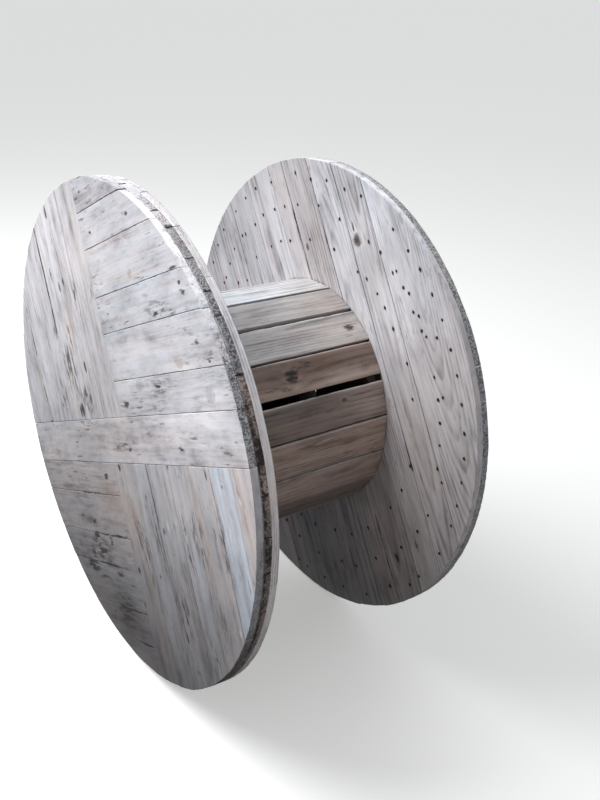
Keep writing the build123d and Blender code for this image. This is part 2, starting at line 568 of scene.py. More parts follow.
class Recipe:
    def __init__(self, name):
        self.material = bpy.data.materials.new(name)
        self.material.use_nodes = True
        self.tree = self.material.node_tree
        self.tree.nodes.clear()

    def node(self, kind, inputs=None, output=0, stops=None, **settings):
        """Adds a node, sets its settings and ramp stops, then its sockets, and gives one output."""
        node = self.tree.nodes.new(kind)
        for name, value in settings.items():
            setattr(node, name, value)
        if stops:
            ramp = node.color_ramp.elements
            while len(ramp) < len(stops):
                ramp.new(1)
            for element, (place, colour) in zip(ramp, stops):
                element.position, element.color = place, (*colour, 1)
        for name, value in (inputs or {}).items():
            if isinstance(value, Wire):
                self.tree.links.new(value.socket, node.inputs[name])
            else:
                node.inputs[name].default_value = value
        return Wire(self, node.outputs[output]) if len(node.outputs) else None

    def painted(self, name):
        return self.node("ShaderNodeAttribute", output="Vector", attribute_name=name)

    def vector(self, *values):
        return self.node("ShaderNodeCombineXYZ", dict(enumerate(values)))

    def parts(self, vector):
        split = self.node("ShaderNodeSeparateXYZ", {0: vector})
        return [Wire(self, socket) for socket in split.socket.node.outputs]

    def stretch(self, vector, scale):
        return self.node("ShaderNodeVectorMath", {0: vector, 1: scale}, operation="MULTIPLY")

    def noise(self, vector, scale, detail=2, rough=0.5):
        return self.node(
            "ShaderNodeTexNoise",
            {"Vector": self.stretch(vector, scale), "Scale": 1, "Detail": detail, "Roughness": rough},
        )

    def ease(self, value, low, high):
        """0 below low, 1 above high, smooth between."""
        return self.node(
            "ShaderNodeMapRange",
            {"Value": value, "From Min": low, "From Max": high},
            interpolation_type="SMOOTHSTEP",
        )

    def mix(self, share, first, second, blend="MIX"):
        return self.node(
            "ShaderNodeMix", {0: share, 6: first, 7: second}, output=2,
            data_type="RGBA", blend_type=blend, clamp_factor=True,
        )

    def finish(self, colour, roughness, height=None, depth=0.001, metallic=0):
        shader = self.node(
            "ShaderNodeBsdfPrincipled",
            {"Base Color": colour, "Roughness": roughness, "Metallic": metallic, "Specular IOR Level": 0.3},
        )
        if height is not None:
            bump = self.node("ShaderNodeBump", {"Height": height, "Distance": depth, "Strength": 1})
            self.tree.links.new(bump.socket, shader.socket.node.inputs["Normal"])
        self.node("ShaderNodeOutputMaterial", {"Surface": shader})
        return self.material


def rgba(r, g, b):
    return (r, g, b, 1)


# colours of the wood and of what has marked it; the stain colour also stands for painted shadow
WOOD_RAMP = [
    (0.0, (0.12, 0.104, 0.106)),
    (0.26, (0.325, 0.302, 0.314)),
    (0.5, (0.56, 0.543, 0.572)),
    (0.72, (0.69, 0.683, 0.718)),
    (1.0, (0.81, 0.813, 0.848)),
]
BLEACHED = rgba(1.2, 1.19, 1.19)
KNOT_RINGS = rgba(0.11, 0.082, 0.078), rgba(0.18, 0.145, 0.14)
KNOT_CORE = rgba(0.045, 0.03, 0.028)
KNOT_OUTLINE = rgba(0.08, 0.058, 0.052)
STAIN_AND_SHADOW = rgba(0.036, 0.031, 0.032)
DASH = rgba(0.12, 0.098, 0.096)


def tinted(wood, colour, grain, place, warm, tints, cast):
    """The colour warmer or cooler: by what is painted, and by stripes along the grain."""
    stripes = (wood.noise(grain, (2.6, 52, 52), 3, 0.6) - 0.5) * 2.6
    stripes = stripes + (wood.noise(place, (7, 7, 7), 2) - 0.5) * 1.2
    tint = warm + stripes * tints
    red = (tint - 1).most(0)
    hue = wood.vector(
        (1 + tint * 0.09) * cast[0],
        (1 - tint * 0.02 - red * 0.04) * cast[1],
        (1 - tint * 0.1 - red * 0.01) * cast[2],
    )
    return wood.mix(1.0, colour, hue, "MULTIPLY")


def knotted(wood, colour, knot, near, drift, spot, knots):
    """Knots: a pale halo, growth rings round a dark core, and a broken dark outline."""
    heart = 1 - wood.ease(near, 0.75, 1.1)
    core = 1 - wood.ease(near, 0.05, 0.8)
    outline = (1 - ((near - 0.98) * 4.0).size()).most(0) * wood.ease(spot, 0.34, 0.56)
    halo = (1 - ((knot - 1.6) * 1.6).size()).most(0)
    rings = wood.mix((near * 2.2 + drift).part(), *KNOT_RINGS)
    colour = wood.mix(halo * (0.5 * knots), colour, wood.mix(1.0, colour, BLEACHED, "MULTIPLY"))
    colour = wood.mix(heart * (0.9 * knots), colour, rings)
    colour = wood.mix(core * (0.8 * knots), colour, KNOT_CORE)
    return wood.mix(outline * (0.15 + 0.4 * knots), colour, KNOT_OUTLINE)


def weathered_wood(
    name, rings=1.0, ring_width=0.0065, dashes=1.0, knots=1.0, streaks=1.0, blotches=1.0, tints=1.0,
    depth=0.0014, cast=(1.0, 1.0, 1.0),
):
    """Grey softwood: rings about the pith, fibres along the grain, knots, stains and sawn ends, with
    painted shade and highlights in its stain and tone.
    """
    wood = Recipe(name)
    grain = wood.painted("grain")
    place = wood.node("ShaderNodeTexCoord", output="Object")
    stain, knot, swirl = wood.parts(wood.painted("marks"))
    tone, warm, end = wood.parts(wood.painted("shade"))
    _, across, inward = wood.parts(grain)
    drift = wood.noise(grain, (1.6, 10, 10), 2)
    ripple = wood.noise(grain, (7, 45, 45), 2)
    radius = (across * across + inward * inward) ** 0.5
    radius = radius + (drift - 0.5) * 0.02 + (ripple - 0.5) * 0.002 + swirl
    turn = (radius / ring_width).part()
    rough = end.most(0)
    late = wood.ease(turn, 0.32, 0.8) * (1 - wood.ease(turn, 0.84, 1.0)) * (1 - end.size() * 0.7)
    fibre = wood.noise(grain, (8, 95, 95), 2, 0.55)
    streak = wood.noise(grain, (2.4, 42, 42), 4, 0.6)
    cloud = wood.noise(place, (7, 7, 7), 3, 0.6)
    mottle = wood.noise(grain, (15, 42, 42), 4, 0.66)
    spot = wood.noise(grain, (22, 110, 110), 3, 0.7)
    lump = wood.noise(place, (80, 80, 80), 3, 0.6)
    show = wood.ease(wood.noise(grain, (5, 12, 12), 2), 0.34, 0.6)
    value = (
        0.55
        - late * (0.34 * rings) * (show * 0.75 + 0.25)
        + 0.1 * rings
        + (fibre - 0.5) * (0.5 * streaks)
        + (streak - 0.5) * (0.7 * streaks)
        + (cloud - 0.5) * (0.45 * blotches)
        + (mottle - 0.5) * (0.6 * blotches)
        - wood.ease(mottle, 0.55, 0.72) * (0.2 * blotches)
    )
    pits = wood.ease(wood.noise(grain, (200, 260, 260), 1, 0.6), 0.38, 0.64)
    value = value + (pits - 0.55) * rough * 0.62
    colour = wood.node("ShaderNodeValToRGB", {"Fac": value}, stops=WOOD_RAMP)
    colour = tinted(wood, colour, grain, place, warm, tints, cast)
    shade = tone * (1 - end * 0.22)
    colour = wood.mix(1.0, colour, wood.vector(shade, shade, shade), "MULTIPLY")
    near = knot + (lump - 0.5) * 1.0 + (ripple - 0.5) * 0.3
    colour = knotted(wood, colour, knot, near, drift, spot, knots)
    # stains, and on the middle layer's rim a painted shadow of the facing, share this ragged mask and dark
    # colour
    ragged = wood.ease(stain * (0.42 + wood.ease(spot, 0.34, 0.64) * 1.0), 0.24, 0.66)
    colour = wood.mix(ragged * 0.9, colour, STAIN_AND_SHADOW)
    mask = wood.ease(wood.noise(place, (8, 8, 8), 2), 0.44, 0.62)
    dash = wood.ease(wood.noise(grain, (26, 140, 140), 2, 0.55), 0.59, 0.71) * mask
    colour = wood.mix(dash * (0.7 * dashes), colour, DASH)
    height = (
        fibre * 0.15 + streak * 0.4 - late * (0.15 * rings) - dash * 0.3 + pits * rough * 0.7 - ragged * 0.2
    )
    return wood.finish(colour, 0.96 - late * 0.08, height, depth)


def hidden_wood(name):
    """Duller wood inside the barrel, its rings in flat layers, and near black round the bore: painted
    shade.
    """
    wood = Recipe(name)
    place = wood.node("ShaderNodeTexCoord", output="Object")
    turn = (math.radians(NEAR_TURN), 0, 0)
    turned = wood.node("ShaderNodeMapping", {"Vector": place, "Rotation": turn})
    drift = wood.noise(turned, (9, 2, 9), 2)
    fibre = wood.noise(turned, (300, 14, 300), 3, 0.6)
    _, _, across = wood.parts(turned)
    rings = ((across + drift * 0.02) / 0.006).part()
    value = 0.3 + rings * 0.2 + (fibre - 0.5) * 0.5
    colour = wood.node(
        "ShaderNodeValToRGB", {"Fac": value},
        stops=[(0, (0.06, 0.042, 0.03)), (0.5, (0.14, 0.1, 0.075)), (1, (0.24, 0.185, 0.14))],
    )
    _, side, height = wood.parts(place)
    radius = (side * side + (height - RADIUS) * (height - RADIUS)) ** 0.5
    # painted shade: near black round the bore
    bore = 1 - wood.ease(radius, BORE_RADIUS + 0.001, BORE_RADIUS + 0.009)
    colour = wood.mix(bore, colour, rgba(0.012, 0.01, 0.009))
    return wood.finish(colour, 0.9 - rings * 0.08, fibre * 0.6 + rings * 0.3, 0.001)


def rusty_steel(name):
    """Steel under an even coat of rust, darker in patches."""
    steel = Recipe(name)
    place = steel.node("ShaderNodeTexCoord", output="Object")
    patch = steel.noise(place, (55, 55, 55), 4, 0.65)
    grit = steel.noise(place, (520, 520, 520), 2, 0.7)
    colour = steel.node(
        "ShaderNodeValToRGB", {"Fac": patch * 0.7 + grit * 0.3},
        stops=[(0.3, (0.018, 0.015, 0.014)), (0.5, (0.04, 0.027, 0.021)), (0.72, (0.1, 0.055, 0.035))],
    )
    return steel.finish(colour, 0.75 + patch * 0.2, patch * 0.5 + grit * 0.5, 0.0006, metallic=0.2)


facing_wood = weathered_wood(
    "facing_wood", rings=0.12, ring_width=0.0055, knots=0.2, streaks=0.85, tints=0.75, blotches=1.3,
    depth=0.001,
)
flange_wood = weathered_wood(
    "flange_wood", rings=0.65, ring_width=0.0075, dashes=0.6, tints=0.55, blotches=0.8
)
stave_wood = weathered_wood(
    "stave_wood", rings=0.6, dashes=0.6, streaks=1.4, tints=0.7, cast=(0.99, 0.988, 0.95)
)
inside_wood = hidden_wood("inside_wood")
rust = rusty_steel("rusty_steel")

# a board's end that only the rim cuts
FAR = math.inf
# spacing of a board's points along it and across it, by how much of it shows
FINE = (0.0055, 0.0033)
FAR_FINE = (0.0055, 0.004)
PLAIN = (0.008, 0.0045)
RIM_ONLY = (0.04, 0.0033)

# facing of the near flange

# tone and warmth of each plank of a block, counted outwards from the middle of the facing
UPPER_RIGHT = [(1.0, 0), (1.02, 0.05), (1.0, 0), (1.02, 0), (1.02, 0), (1.0, 0)]
LOWER_LEFT = [(1.0, 0.6), (1.0, 0.45), (0.98, 0.3), (0.97, 0.2), (0.96, 0.25), (0.95, 0.3)]
LOWER_RIGHT = [(0.98, 0.35), (1.0, -0.05), (0.98, 0.1), (1.0, 0.1), (0.96, 0.3), (1.1, -0.45), (0.95, 0.5)]
UPPER_LEFT = [(1.0, 0.2), (1.02, 0.1), (1.0, 0.1), (1.0, 0), (1.0, 0), (0.98, 0), (0.98, 0)]

# marks in diameters along the centre plank and across it: middle, reach, and strength or factor;
# a knot has its two radii instead
FACING_STAINS = [
    (-0.211, 0.236, 0.009, 0.02, 0.9), (-0.263, 0.08, 0.007, 0.008, 0.8),
    (-0.153, 0.062, 0.015, 0.02, 0.85), (-0.094, 0.062, 0.01, 0.018, 0.7),
    (-0.083, 0.15, 0.006, 0.012, 0.85), (-0.045, 0.305, 0.016, 0.022, 0.42),
    (-0.17, 0.35, 0.005, 0.018, 0.55), (-0.125, 0.325, 0.012, 0.012, 0.4),
    (-0.114, 0.468, 0.006, 0.02, 0.6), (0.02, 0.425, 0.004, 0.014, 0.35),
    (-0.018, 0.335, 0.014, 0.01, 0.4), (-0.235, 0.39, 0.006, 0.012, 0.3),
    (-0.268, 0.215, 0.012, 0.03, 0.32), (-0.45, 0.095, 0.014, 0.045, 0.36),
    (-0.326, 0.152, 0.008, 0.005, 0.4), (-0.368, 0.044, 0.01, 0.004, 0.6),
    (-0.201, 0.34, 0.0032, 0.14, 1.3), (-0.367, 0.2, 0.003, 0.16, 0.8), (0.087, 0.066, 0.015, 0.01, 0.8),
    (0.284, 0.214, 0.024, 0.005, 0.62), (0.395, 0.236, 0.018, 0.005, 0.55),
    (0.25, 0.39, 0.014, 0.006, 0.35), (0.075, 0.15, 0.022, 0.018, 0.34), (0.39, 0.274, 0.02, 0.004, 0.45),
    (0.1, 0.235, 0.014, 0.004, 0.4), (0.09, 0.388, 0.012, 0.006, 0.35), (0.21, 0.054, 0.03, 0.004, 0.4),
    (0.42, 0.152, 0.014, 0.004, 0.6), (0.326, 0.002, 0.03, 0.005, 0.4), (-0.09, 0.01, 0.06, 0.003, 0.28),
    (0.08, -0.03, 0.032, 0.0018, 0.9), (0.055, -0.021, 0.008, 0.005, 0.6),
    (-0.222, -0.243, 0.034, 0.013, 0.85), (-0.298, -0.288, 0.04, 0.013, 0.92),
    (-0.146, -0.291, 0.026, 0.008, 0.7), (-0.104, -0.076, 0.016, 0.012, 0.55),
    (-0.229, -0.184, 0.017, 0.01, 0.68), (-0.158, -0.216, 0.014, 0.02, 0.6),
    (-0.3, -0.17, 0.014, 0.01, 0.45), (-0.31, -0.224, 0.05, 0.006, 0.42),
    (-0.35, -0.246, 0.022, 0.006, 0.45), (-0.19, -0.26, 0.012, 0.008, 0.75),
    (-0.24, -0.308, 0.045, 0.008, 0.5), (-0.09, -0.31, 0.02, 0.006, 0.5),
    (-0.23, -0.385, 0.014, 0.009, 0.45), (-0.048, -0.344, 0.006, 0.008, 0.7),
    (-0.1, -0.205, 0.04, 0.003, 0.75), (-0.05, -0.372, 0.007, 0.02, 0.45),
    (-0.27, -0.092, 0.01, 0.006, 0.34), (-0.34, -0.33, 0.03, 0.01, 0.35),
    (0.076, -0.111, 0.009, 0.009, 0.82), (0.069, -0.133, 0.006, 0.006, 0.55),
    (-0.021, -0.056, 0.006, 0.008, 0.85), (-0.021, -0.085, 0.003, 0.02, 0.5),
    (0.132, -0.177, 0.008, 0.009, 0.72), (0.176, -0.163, 0.014, 0.02, 0.42),
    (0.066, -0.27, 0.011, 0.007, 0.6), (-0.035, -0.27, 0.008, 0.01, 0.8),
    (0.132, -0.381, 0.004, 0.012, 0.85), (0.149, -0.447, 0.01, 0.011, 0.5),
    (0.347, -0.062, 0.003, 0.011, 0.75), (0.294, -0.358, 0.005, 0.03, 0.55),
    (0.163, -0.087, 0.006, 0.008, 0.4), (0.153, -0.218, 0.004, 0.005, 0.5),
    (0.396, -0.08, 0.004, 0.004, 0.6), (0.393, -0.23, 0.003, 0.005, 0.4),
    (0.235, -0.402, 0.01, 0.006, 0.5), (0.228, -0.372, 0.006, 0.018, 0.4),
    (0.205, -0.051, 0.006, 0.004, 0.75), (0.245, -0.068, 0.014, 0.008, 0.38),
    (0.112, -0.11, 0.0024, 0.06, 0.9), (0.06, -0.465, 0.02, 0.02, 0.3), (-0.17, 0.16, 0.07, 0.09, 0.45),
    (-0.11, 0.085, 0.05, 0.045, 0.5), (-0.245, 0.1, 0.03, 0.06, 0.42), (-0.08, 0.29, 0.04, 0.05, 0.38),
    (-0.23, -0.25, 0.11, 0.06, 0.44), (-0.15, -0.37, 0.08, 0.06, 0.48), (0.3, -0.33, 0.04, 0.08, 0.34),
    (0.27, -0.18, 0.04, 0.09, 0.42), (0.1, -0.4, 0.06, 0.06, 0.32), (0.02, -0.22, 0.04, 0.12, 0.44),
    (0.18, -0.26, 0.05, 0.12, 0.3), (0.09, 0.06, 0.05, 0.03, 0.34), (0.25, 0.09, 0.11, 0.05, 0.36),
    (0.3, 0.22, 0.08, 0.03, 0.38), (0.02, -0.01, 0.11, 0.02, 0.42), (-0.275, -0.255, 0.035, 0.02, 0.62),
    (-0.235, -0.215, 0.02, 0.014, 0.8), (0.1, -0.18, 0.03, 0.12, 0.42), (0.22, -0.2, 0.025, 0.13, 0.42),
    (0.36, -0.18, 0.02, 0.12, 0.4), (0.14, -0.33, 0.05, 0.1, 0.42), (-0.162, 0.349, 0.003, 0.018, 0.95),
    (-0.101, 0.327, 0.006, 0.01, 0.85), (-0.128, 0.317, 0.004, 0.008, 0.85),
    (-0.053, 0.296, 0.004, 0.016, 1.0), (-0.131, 0.232, 0.003, 0.022, 0.85),
    (-0.073, 0.479, 0.003, 0.006, 0.7), (-0.231, 0.395, 0.003, 0.012, 0.6),
    (0.291, 0.212, 0.014, 0.005, 0.95), (0.32, 0.218, 0.03, 0.0025, 0.6), (0.399, 0.25, 0.005, 0.004, 0.9),
    (0.406, 0.233, 0.01, 0.005, 0.8), (0.416, 0.1535, 0.012, 0.005, 0.8),
    (0.445, 0.121, 0.006, 0.004, 0.85), (0.0915, 0.234, 0.012, 0.006, 0.8),
    (0.261, 0.387, 0.008, 0.005, 0.62), (0.092, 0.387, 0.006, 0.005, 0.68),
    (0.083, 0.4655, 0.006, 0.004, 0.7), (0.165, 0.463, 0.006, 0.005, 0.7),
    (0.239, 0.091, 0.015, 0.005, 0.75), (0.387, 0.275, 0.018, 0.006, 0.58),
    (0.354, 0.21, 0.02, 0.01, 0.45), (-0.131, 0.21, 0.004, 0.02, 0.7), (0.165, 0.005, 0.03, 0.012, 0.45),
    (0.28, -0.02, 0.02, 0.01, 0.5), (-0.298, -0.288, 0.016, 0.008, 1.25),
    (-0.222, -0.243, 0.016, 0.008, 1.15), (-0.19, -0.2755, 0.11, 0.0022, 0.9),
    (-0.12, -0.3665, 0.06, 0.0024, 1.1), (-0.09, -0.4356, 0.035, 0.0024, 1.1),
    (-0.2, -0.1166, 0.11, 0.002, 0.7), (-0.15, -0.207, 0.08, 0.002, 0.8),
]
FACING_KNOTS = [
    (-0.371, -0.028, 0.017, 0.011), (0.163, 0.099, 0.016, 0.009), (0.423, 0.068, 0.013, 0.012),
    (0.34, 0.126, 0.013, 0.009), (0.225, 0.291, 0.009, 0.007), (0.416, 0.153, 0.008, 0.004),
]
FACING_WARMS = [
    (-0.131, 0.23, 0.012, 0.035, 1.6), (-0.16, 0.11, 0.07, 0.04, 0.3), (-0.371, -0.028, 0.04, 0.014, 0.7),
    (-0.35, -0.2, 0.06, 0.02, 0.3), (-0.12, -0.17, 0.08, 0.03, 0.35), (-0.25, -0.345, 0.09, 0.025, 0.4),
    (0.29, -0.18, 0.018, 0.11, 0.6), (0.453, -0.12, 0.014, 0.07, 0.7), (0, 0, 0.12, 0.04, 0.5),
    (0.22, 0, 0.08, 0.03, 0.25), (-0.25, -0.12, 0.1, 0.04, 0.25), (-0.1, -0.12, 0.06, 0.03, 0.9),
    (0, -0.15, 0.04, 0.05, 0.5), (0.352, -0.14, 0.008, 0.08, 0.4), (0.18, -0.34, 0.05, 0.08, 0.3),
    (0.01, -0.3, 0.03, 0.16, 0.3), (0.34, 0.124, 0.02, 0.014, 0.8), (0.225, 0.291, 0.01, 0.008, 0.9),
]
FACING_TONES = [
    (-0.15, -0.38, 0.08, 0.06, 0.62), (0.3, -0.34, 0.06, 0.08, 0.8), (0.3, -0.2, 0.03, 0.08, 0.86),
    (-0.1, 0.44, 0.08, 0.06, 1.14), (0.28, 0.24, 0.06, 0.05, 1.08), (-0.1, -0.12, 0.05, 0.03, 0.82),
    (0.1, 0.13, 0.06, 0.05, 1.05), (0.26, 0, 0.14, 0.05, 1.2), (-0.2, 0, 0.08, 0.04, 0.86),
    (0.41, 0.06, 0.11, 0.05, 1.12), (0.2, 0.25, 0.11, 0.09, 0.92), (0.45, -0.12, 0.02, 0.06, 0.88),
    (0.151, -0.165, 0.003, 0.009, 1.5), (0.447, -0.101, 0.003, 0.006, 1.5),
    (0.352, -0.332, 0.003, 0.007, 1.6),
]


SMOOTH_TONE_LIMITS = (0.24, 1.1)


def smooth_tone(p, q, level, on_p, on_q, on_pp, on_pq, on_qq):
    """Tone that changes smoothly over a flange, on the near one lighter at the top and darker towards the
    ground: e to a quadratic in p and q.
    """
    exponent = level + on_p * p + on_q * q + on_pp * p**2 + on_pq * p * q + on_qq * q**2
    return np.clip(np.exp(exponent), *SMOOTH_TONE_LIMITS)


# level, and the factors of p, q, p squared, p times q and q squared
NEAR_SMOOTH_TONE = (-0.26, 0.56, 1.45, 0.66, -1.85, -2.19)
FAR_SMOOTH_TONE = (-0.08, 0.17, -0.22, -1.05, 0.65, -0.7)


def facing_ranges():
    """Node name, grain turn, range across, range along, and tone with warmth of every facing plank."""
    half, drop = WIDE / 2, FACING_DROP
    planks = [("facing_centre_plank", NEAR_TURN, (-half - drop, half - drop), (-FAR, FAR), (1.08, 0.2))]
    rows = [*alternate(half, 1), FAR]
    for number, (low, high) in enumerate(zip(rows, rows[1:]), start=1):
        planks.append((f"facing_upper_right_{number}", NEAR_TURN, (low - drop, high - drop),
                       (FACING_OFFSET, FAR), UPPER_RIGHT[number - 1]))
        planks.append((f"facing_lower_left_{number}", NEAR_TURN, (-high - drop, -low - drop),
                       (-FAR, -FACING_OFFSET), LOWER_LEFT[number - 1]))
    columns = [-FACING_OFFSET, *alternate(WIDE - FACING_OFFSET, 1), FAR]
    for number, (left, right) in enumerate(zip(columns, columns[1:]), start=1):
        planks.append((f"facing_lower_right_{number}", NEAR_TURN - 90, (left, right),
                       (half + drop, FAR), LOWER_RIGHT[number - 1]))
        planks.append((f"facing_upper_left_{number}", NEAR_TURN - 90, (-right, -left),
                       (-FAR, -half + drop), UPPER_LEFT[number - 1]))
    return planks


def bounded(limits):
    """Limits of a board drawn in by half a seam, and infinity where the rim cuts it."""
    low, high = limits
    return low + SEAM / 2, high - SEAM / 2


def across_range(limits):
    """Limits across a board, which the rim bounds."""
    low, high = bounded(limits)
    return max(low, -RADIUS), min(high, RADIUS)


# tone and warmth of the facing's rim, at angles round it in degrees from the top towards -Y
RIM_ANGLES = (0, 4, 6, 48, 52, 67, 70, 95, 140, 360)
FACING_RIM_TONE = (1.0, 1.0, 1.35, 1.35, 0.92, 0.84, 1.0, 0.95, 0.7, 0.9)
FACING_RIM_WARM = (0, 0, 0, 0, -0.15, -0.15, 0.05, 0.05, 0.15, 0)

# joints of the facing that gape: the plank's low side 0 or high side 1, middle, reach and width
GAPS = {
    "facing_upper_left_4": ((1, -0.375, 0.13, 0.0016),),
    "facing_upper_left_3": ((0, -0.375, 0.13, 0.0016),),
    "facing_lower_right_2": ((1, 0.11, 0.05, 0.0012),),
}

for number, (name, turn, across, along, (tone, warm)) in enumerate(facing_ranges()):
    plank = Piece()
    face = Face(FACING_X, turn, -1)
    board = Board(number, tone=tone, warm=warm, gaps=GAPS.get(name, ()))
    flange_board(plank, face, board, across_range(across), bounded(along), FINE, rim_wave=0.0022)
    p, q, theta = paint(plank, NEAR_TURN, FACING_STAINS, FACING_KNOTS, FACING_WARMS, FACING_TONES)
    end_grain(plank, face.along)
    on_rim = plank.field("wall")
    tone = plank.field("tone") * smooth_tone(p, q, *NEAR_SMOOTH_TONE)
    tone = tone * (1 + on_rim * (np.interp(theta, RIM_ANGLES, FACING_RIM_TONE) - 1))
    worn_rim = step_up(theta, 3, 8) * (1 - step_up(theta, 46, 51))
    plank.fields["end"] = [plank.field("end") * (1 - 0.75 * worn_rim)]
    warm = plank.field("warm") * (1 - on_rim) + on_rim * np.interp(theta, RIM_ANGLES, FACING_RIM_WARM)
    plank.fields.update(tone=[tone], warm=[warm])
    plank.build(name + "_weathered", facing_wood, "facing_wood", [name])


# layers of both flanges

BOLTS = [
    (BOLT_CIRCLE_RADIUS * math.sin(a), BOLT_CIRCLE_RADIUS * math.cos(a))
    for a in np.radians(90 - BOLT_TURN - 90 * np.arange(4))
]


def holes_in(face, across, pockets):
    """Round holes that lie in this board: the bore, and the pockets of the tie bolts."""
    found = [(0.0, 0.0, BORE_RADIUS)] if across[0] < 0 < across[1] else []
    if pockets:
        for right, up in BOLTS:
            u = -right * face.along[0] + up * face.along[1]
            v = -right * face.across[0] + up * face.across[1]
            if across[0] < v < across[1]:
                found.append((u, v, POCKET_RADIUS))
    return found


def layer(face, edges, first_number, step, boards={}, pockets=False, seam=SEAM, opened={}, **settings):
    """All boards of one layer, cut to the rim, as one piece."""
    piece = Piece()
    for number, across in enumerate(strips(edges, seam, opened)):
        board = Board(first_number + number, **boards.get(number, {}))
        holes = holes_in(face, across, pockets)
        flange_board(piece, face, board, across, (-FAR, FAR), step, holes=holes, **settings)
    end_grain(piece, face.along)
    return piece


def retone(piece, tone, warm):
    piece.fields.update(tone=[piece.field("tone") * tone], warm=[piece.field("warm") + warm])


def paint_shade_inside(piece, reach=STAVE_FACE_RADIUS):
    """Painted shade in the bore and on what lies inside the barrel, up to a dark line round it."""
    points = np.concatenate(piece.points)
    radius = np.hypot(points[:, 1], points[:, 2] - RADIUS)
    retone(piece, 0.05 + 0.95 * step_up(radius, reach - 0.004, reach + 0.004), 0)


def metres(edges):
    return [edge / 1000 for edge in edges]


# near flange, middle layer: only its rim shows, with dark places at these angles round it:
# middle, reach and strength, and its tone by angle
MIDDLE_RIM_STAINS = (
    (14.3, 0.3, 0.8), (20.3, 0.45, 1.2), (36.4, 0.3, 1.1), (41.5, 0.3, 1.0), (52.7, 0.35, 1.1),
    (66.5, 2.5, 0.75), (74.5, 0.35, 1.1), (86, 4, 0.5), (90.2, 0.4, 1.0),
)
MIDDLE_RIM_ANGLES = (0, 19, 20.5, 27, 32, 50, 53.5, 62, 65, 69, 71, 74, 76, 84, 91, 110, 180, 300, 360)
MIDDLE_RIM_TONE = (
    0.95, 0.9, 0.58, 0.52, 0.72, 0.66, 0.7, 0.62, 0.32, 0.34, 0.7, 0.75, 0.58, 0.45, 0.5, 0.5, 0.55,
    0.8, 0.95,
)
near_middle = layer(Face(MIDDLE_X, NEAR_TURN, -1), metres(MIDDLE_EDGES), 100, RIM_ONLY)
_, _, theta = paint(near_middle, NEAR_TURN)
rim_dark = np.interp(theta, MIDDLE_RIM_ANGLES, MIDDLE_RIM_TONE)
rim_warm = np.interp(theta, (0, 52, 54, 120, 200, 360), (0, 0, 1.7, 1.2, 0.6, 0))
retone(near_middle, rim_dark, rim_warm)
stain = np.zeros(len(theta))
for middle, reach, strength in MIDDLE_RIM_STAINS:
    stain = np.maximum(stain, strength * fall(theta - middle, reach))
# painted shadow of the facing along the middle rim, darkest next to the facing, from about 50 to 170
# degrees round it
below = step_up(theta, 50, 62) * (1 - step_up(theta, 150, 170))
shadow = fall(near_middle.field("w"), 0.004) * (0.8 * below)
near_middle.fields["stain"] = [np.maximum(stain, shadow) * near_middle.field("wall")]
paint_shade_inside(near_middle, BORE_RADIUS + 0.003)
near_middle.build("near_middle_layer_weathered", flange_wood, "flange_wood", ["near_middle_layer"])

# near flange, inner layer: its rim, and its face towards the barrel
outward = alternate(WIDE / 2, 1)
inner_edges = [-edge for edge in reversed(outward)] + outward
# radii of a flange's rings of nails, in diameters
NAIL_RINGS = (0.466, 0.402, 0.332)


def random_nails(seed, rings=NAIL_RINGS, spacing=0.05):
    """Places of nails round each ring, unevenly spaced, in diameters."""
    rng = np.random.default_rng(seed)
    places = []
    for ring in rings:
        count = int(2 * math.pi * ring / spacing * 1.1)
        angles = (np.arange(count) + rng.uniform(-0.33, 0.33, count)) / count * 360
        radii = ring + rng.uniform(-0.008, 0.008, count)
        places += [(r * math.sin(a), r * math.cos(a)) for r, a in zip(radii, np.radians(angles))]
    return places


near_nails = random_nails(11)
INNER_BOARDS = {number: dict(pith=0.0, depth=0.16, ring=0.55, slope=0.02) for number in range(13)}
INNER_BOARDS[12] = dict(pith=0.012, depth=0.045, ring=0.6, slope=0.0)
near_inner = layer(
    Face(BARREL_START_X, NEAR_TURN - 90, 1), inner_edges, 140, PLAIN, boards=INNER_BOARDS, ragged=0.5
)
_, _, theta = paint(near_inner, NEAR_TURN, [(p, q, 0.004, 0.008, 0.9) for p, q in near_nails])
rim_tone = np.interp(theta, (0, 40, 95, 120, 150, 330, 360), (1.1, 1.5, 1.5, 1.2, 0.85, 0.8, 1.1))
rim_warm = 0.15 + 0.5 * step_up(theta, 45, 60) * (1 - step_up(theta, 140, 160))
retone(near_inner, np.where(near_inner.field("wall") > 0.5, rim_tone, 0.8), rim_warm)
near_inner.fields["end"] = [0.4 * near_inner.field("end")]
near_inner.fields["grain_v"] = [near_inner.field("grain_v") * (1 - 0.88 * near_inner.field("wall"))]
paint_shade_inside(near_inner)
near_inner.build("near_inner_layer_weathered", flange_wood, "flange_wood", ["near_inner_layer"])

# far flange, inner layer: the face that shows behind the barrel
FAR_BOARDS = {
    0: dict(tone=0.95, ring=2.2), 1: dict(tone=0.97, ring=2.2), 2: dict(tone=1.0, ring=2.2),
    3: dict(tone=0.96, ring=2.0),
    4: dict(tone=1.04, ring=1.6), 5: dict(tone=1.0, pith=0.0, depth=0.02, slope=0.03),
    6: dict(tone=1.08, pith=-0.02, depth=0.09), 7: dict(tone=0.96, warm=0.15),
    8: dict(tone=0.88, warm=0.3, pith=-0.01, depth=0.014, slope=0.05),
    9: dict(tone=1.05, pith=-0.02, depth=0.016, slope=-0.08),
    10: dict(tone=1.0, pith=0.01, depth=0.03, slope=0.05),
    11: dict(tone=1.02, pith=0.087, depth=0.03, slope=0.107, ring=0.85),
}
# how far joints between those boards have opened, by number
FAR_OPENED = {1: 0.001, 2: 0.0017, 4: 0.0018, 7: 0.0014, 8: 0.0014, 9: 0.0018, 10: 0.0012}
